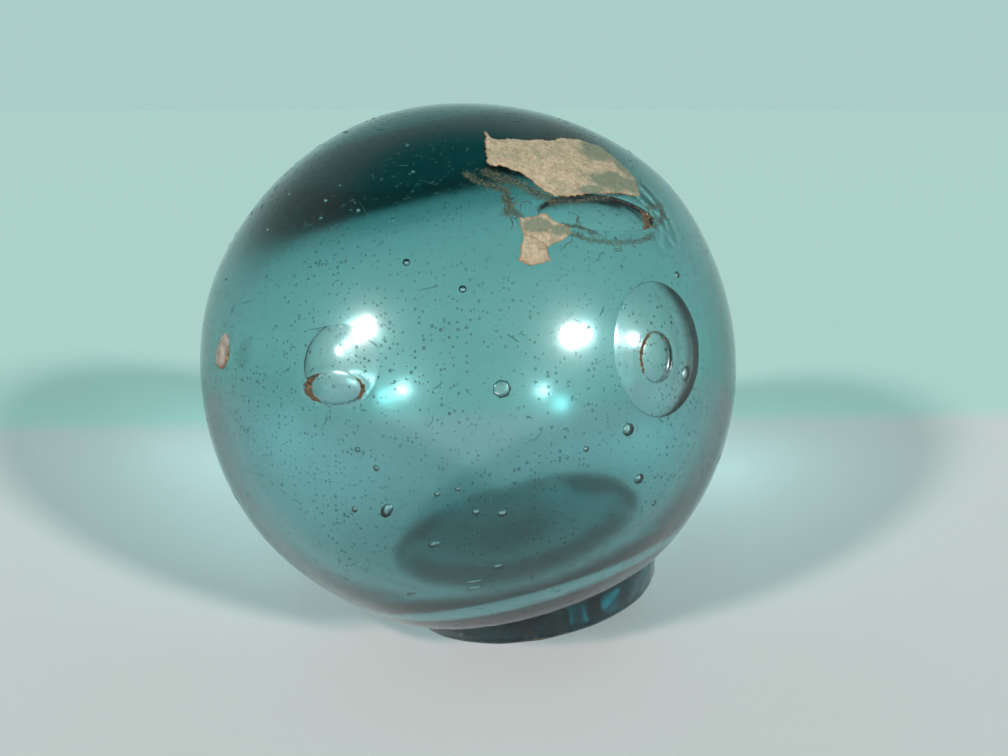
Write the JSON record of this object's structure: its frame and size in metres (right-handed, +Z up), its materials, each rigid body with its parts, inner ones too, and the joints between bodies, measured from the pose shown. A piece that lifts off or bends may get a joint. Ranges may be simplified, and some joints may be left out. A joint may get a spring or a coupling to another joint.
{
  "type": "glass float ball",
  "caption": "Hand-blown teal glass net float, a sealed ball leaning on its darker glass seal button, with wall blisters and torn label scraps.",
  "frame": {"origin": "middle of the small flat that the float stands on, on its seal button, straight under the ball's centre", "axes": "+Z up; -Y is the front, the side with the torn label and the open blisters; the seal button leans out to the right, towards +X"},
  "size_m": [0.1, 0.1, 0.1007],
  "materials": {
    "float_glass": "hand-blown teal soda-lime glass, glossy with fine wear scratches and seeds",
    "seal_glass": "thick dark teal glass, pressed, chipped and scuffed at the rim",
    "label_paper": "torn brown label paper, dried and curled, matte"
  },
  "bodies": {
    "root": {"glass_ball": "float_glass", "seal_button": "seal_glass", "label_scrap_upper": "label_paper", "label_scrap_lower": "label_paper"}
  },
  "joints": []
}
